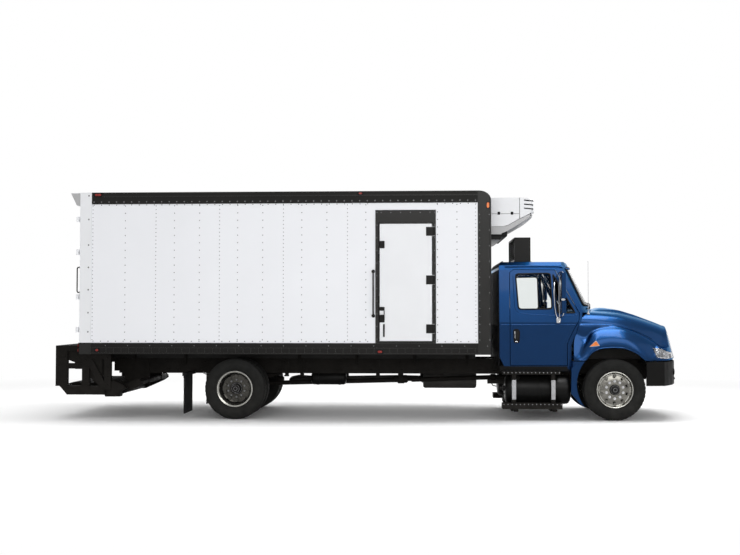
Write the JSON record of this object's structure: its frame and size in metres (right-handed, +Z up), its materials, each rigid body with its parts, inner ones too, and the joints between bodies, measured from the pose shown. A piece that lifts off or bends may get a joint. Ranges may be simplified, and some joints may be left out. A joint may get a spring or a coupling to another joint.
{
  "type": "refrigerated box truck",
  "caption": "Conventional-cab box truck: riveted insulated body with side and rear doors, nose refrigeration unit, tilting hood, steered front wheels, twin rear wheels and tuck-under liftgate.",
  "frame": {"origin": "on the ground under the middle of the vehicle's length and width", "axes": "+X forward, +Y to the truck's left, +Z up"},
  "size_m": [10.5, 2.72, 3.798],
  "materials": {
    "blue_paint": "metallic blue, glossy clear coat",
    "white_panel": "satin white",
    "black_paint": "semi-gloss black",
    "black_steel": "satin black",
    "cast_iron": "cast",
    "polished_alloy": "polished",
    "tyre_rubber": "matte",
    "clear_glass": "clear",
    "lamp_lens": "clear lens",
    "chrome": "bright",
    "dark_trim": "grained",
    "seat_cloth": "woven",
    "flap_rubber": "matte"
  },
  "bodies": {
    "truck": {"chassis_frame": "black_steel", "front_axle": "black_steel", "rear_axle": "black_steel", "driveshaft": "black_steel", "engine_block": "cast_iron", "fuel_tank_right": "black_paint", "fuel_tank_left": "black_paint", "tank_steps_right": "black_steel", "tank_steps_left": "black_steel", "cab_shell": "blue_paint", "windshield": "clear_glass", "dashboard": "dark_trim", "steering_wheel": "dark_trim", "seats": "seat_cloth", "roof_box": "black_paint", "front_bumper": "black_paint", "box_floor": "black_paint", "box_wall_right": "white_panel", "box_wall_left": "white_panel", "side_door_frame": "black_paint", "box_wall_front": "black_paint", "box_roof": "black_paint", "box_rear_frame": "white_panel", "refrigeration_unit": "white_panel", "mud_flap_right": "flap_rubber", "mud_flap_left": "flap_rubber", "liftgate_dock_frame": "black_steel", "liftgate_mount": "black_steel"},
    "hood": {"hood": "blue_paint", "grille": "chrome", "headlamp_right": "lamp_lens", "headlamp_left": "lamp_lens"},
    "side_door": {"side_door": "white_panel"},
    "liftgate_arms": {"liftgate_arms": "black_steel"},
    "liftgate_hinge_bar": {"liftgate_hinge_bar": "black_steel"},
    "platform_inner": {"liftgate_platform_inner": "black_steel"},
    "platform_outer": {"liftgate_platform_outer": "black_steel"},
    "cab_door_right": {"cab_door_right": "blue_paint", "door_glass_right": "clear_glass", "mirror_right": "blue_paint"},
    "rear_door_right": {"rear_door_right": "white_panel"},
    "knuckle_right": {"knuckle_right": "black_steel"},
    "front_wheel_right": {"wheel_front_right": "polished_alloy", "tyre_front_right": "tyre_rubber"},
    "rear_wheels_right": {"wheels_rear_right": "polished_alloy", "tyre_rear_outer_right": "tyre_rubber", "tyre_rear_inner_right": "tyre_rubber"},
    "cab_door_left": {"cab_door_left": "blue_paint", "door_glass_left": "clear_glass", "mirror_left": "blue_paint"},
    "rear_door_left": {"rear_door_left": "white_panel"},
    "knuckle_left": {"knuckle_left": "black_steel"},
    "front_wheel_left": {"wheel_front_left": "polished_alloy", "tyre_front_left": "tyre_rubber"},
    "rear_wheels_left": {"wheels_rear_left": "polished_alloy", "tyre_rear_outer_left": "tyre_rubber", "tyre_rear_inner_left": "tyre_rubber"}
  },
  "joints": [
    {"name": "hood_tilt", "type": "hinge", "parent": "truck", "child": "hood", "pos_m": [5.12, 0, 0.6], "axis": [0, 1, 0], "range_deg": [0, 60]},
    {"name": "side_door_swing", "type": "hinge", "parent": "truck", "child": "side_door", "pos_m": [1.12, -1.312, 2.28], "axis": [0, 0, 1], "range_deg": [0, 180]},
    {"name": "liftgate_lift", "type": "hinge", "parent": "truck", "child": "liftgate_arms", "pos_m": [-3.9, 0, 0.59], "axis": [0, -1, 0], "range_deg": [0, 21.5]},
    {"name": "liftgate_level", "type": "hinge", "parent": "liftgate_arms", "child": "liftgate_hinge_bar", "pos_m": [-5.11, 0, 0.505], "axis": [0, 1, 0], "range_deg": [0, 21.5]},
    {"name": "platform_unfold", "type": "hinge", "parent": "liftgate_hinge_bar", "child": "platform_inner", "pos_m": [-5.11, 0, 0.505], "axis": [0, -1, 0], "range_deg": [0, 180]},
    {"name": "platform_flip", "type": "hinge", "parent": "platform_inner", "child": "platform_outer", "pos_m": [-4.55, 0, 0.542], "axis": [0, 1, 0], "range_deg": [0, 180]},
    {"name": "cab_door_right_swing", "type": "hinge", "parent": "truck", "child": "cab_door_right", "pos_m": [3.538, -1.003, 1.7], "axis": [0, 0, 1], "range_deg": [0, 70]},
    {"name": "rear_door_right_swing", "type": "hinge", "parent": "truck", "child": "rear_door_right", "pos_m": [-4.86, -1.33, 2.4], "axis": [0, 0, 1], "range_deg": [0, 270]},
    {"name": "steer_right", "type": "hinge", "parent": "truck", "child": "knuckle_right", "pos_m": [4.09, -0.83, 0.5], "axis": [0, 0, 1], "range_deg": [-35, 35]},
    {"name": "front_wheel_right_spin", "type": "hinge", "parent": "knuckle_right", "child": "front_wheel_right", "pos_m": [4.09, -1.012, 0.506], "axis": [0, 1, 0], "continuous": true},
    {"name": "rear_wheels_right_spin", "type": "hinge", "parent": "truck", "child": "rear_wheels_right", "pos_m": [-2.21, -1.077, 0.506], "axis": [0, 1, 0], "continuous": true},
    {"name": "cab_door_left_swing", "type": "hinge", "parent": "truck", "child": "cab_door_left", "pos_m": [3.538, 1.003, 1.7], "axis": [0, 0, -1], "range_deg": [0, 70]},
    {"name": "rear_door_left_swing", "type": "hinge", "parent": "truck", "child": "rear_door_left", "pos_m": [-4.86, 1.33, 2.4], "axis": [0, 0, -1], "range_deg": [0, 270]},
    {"name": "steer_left", "type": "hinge", "parent": "truck", "child": "knuckle_left", "pos_m": [4.09, 0.83, 0.5], "axis": [0, 0, 1], "range_deg": [-35, 35]},
    {"name": "front_wheel_left_spin", "type": "hinge", "parent": "knuckle_left", "child": "front_wheel_left", "pos_m": [4.09, 1.012, 0.506], "axis": [0, 1, 0], "continuous": true},
    {"name": "rear_wheels_left_spin", "type": "hinge", "parent": "truck", "child": "rear_wheels_left", "pos_m": [-2.21, 1.077, 0.506], "axis": [0, 1, 0], "continuous": true}
  ],
  "couplings": [
    {"joint": "steer_left", "follows": "steer_right", "ratio": 1},
    {"joint": "liftgate_level", "follows": "liftgate_lift", "ratio": 1},
    {"joint": "platform_flip", "follows": "platform_unfold", "ratio": 1}
  ]
}
